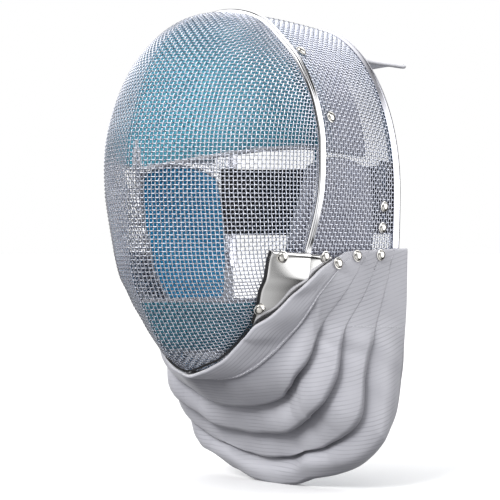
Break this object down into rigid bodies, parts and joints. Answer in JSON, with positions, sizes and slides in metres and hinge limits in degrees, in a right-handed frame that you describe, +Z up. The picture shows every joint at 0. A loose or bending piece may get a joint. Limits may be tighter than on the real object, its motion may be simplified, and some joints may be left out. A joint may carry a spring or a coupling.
{
  "type": "fencing mask",
  "caption": "Fencing mask with a creased wire-mesh bowl, chrome seam, cheek plates, pleated bib, inner pads, back strap and rear tongue.",
  "frame": {"origin": "underside of the crown pad in the middle plane, where the mask rests on the top of the head", "axes": "+Z up, the face bowl looks towards -Y, +X is the wearer's left"},
  "size_m": [0.2064, 0.3161, 0.3853],
  "materials": {
    "wire_mesh": "bright woven stainless wire",
    "chrome_trim": "polished",
    "rim_steel": "satin",
    "polished_steel": "polished",
    "nickel_rivet": "polished, slightly warm",
    "lame_cloth": "matt silver-grey woven with metal thread, fine lines",
    "dark_binding": "matt",
    "black_elastic": "matt ribbed",
    "tongue_cover": "smooth satin",
    "pad_lining": "soft brushed knit"
  },
  "bodies": {
    "root": {"back_strap": "black_elastic", "bib": "lame_cloth", "cheek_plate_left": "polished_steel", "cheek_plate_right": "polished_steel", "chin_pad": "pad_lining", "crown_pad": "pad_lining", "face_mesh": "wire_mesh", "jaw_seam": "dark_binding", "rear_rim": "rim_steel", "rivet_bib_corner_left": "nickel_rivet", "rivet_bib_corner_right": "nickel_rivet", "rivet_bib_top_front_left": "nickel_rivet", "rivet_bib_top_front_right": "nickel_rivet", "rivet_bib_top_rear_left": "nickel_rivet", "rivet_bib_top_rear_right": "nickel_rivet", "rivet_crown_left": "nickel_rivet", "rivet_crown_right": "nickel_rivet", "rivet_plate_front_left": "nickel_rivet", "rivet_plate_front_right": "nickel_rivet", "rivet_plate_low_left": "nickel_rivet", "rivet_plate_low_right": "nickel_rivet", "rivet_plate_rear_left": "nickel_rivet", "rivet_plate_rear_right": "nickel_rivet", "rivet_strap_lower_left": "nickel_rivet", "rivet_strap_lower_right": "nickel_rivet", "rivet_strap_upper_left": "nickel_rivet", "rivet_strap_upper_right": "nickel_rivet", "rivet_temple_left": "nickel_rivet", "rivet_temple_right": "nickel_rivet", "seam_trim": "chrome_trim", "side_mesh": "wire_mesh", "side_pad_left": "pad_lining", "side_pad_right": "pad_lining", "tongue": "tongue_cover"}
  },
  "joints": []
}
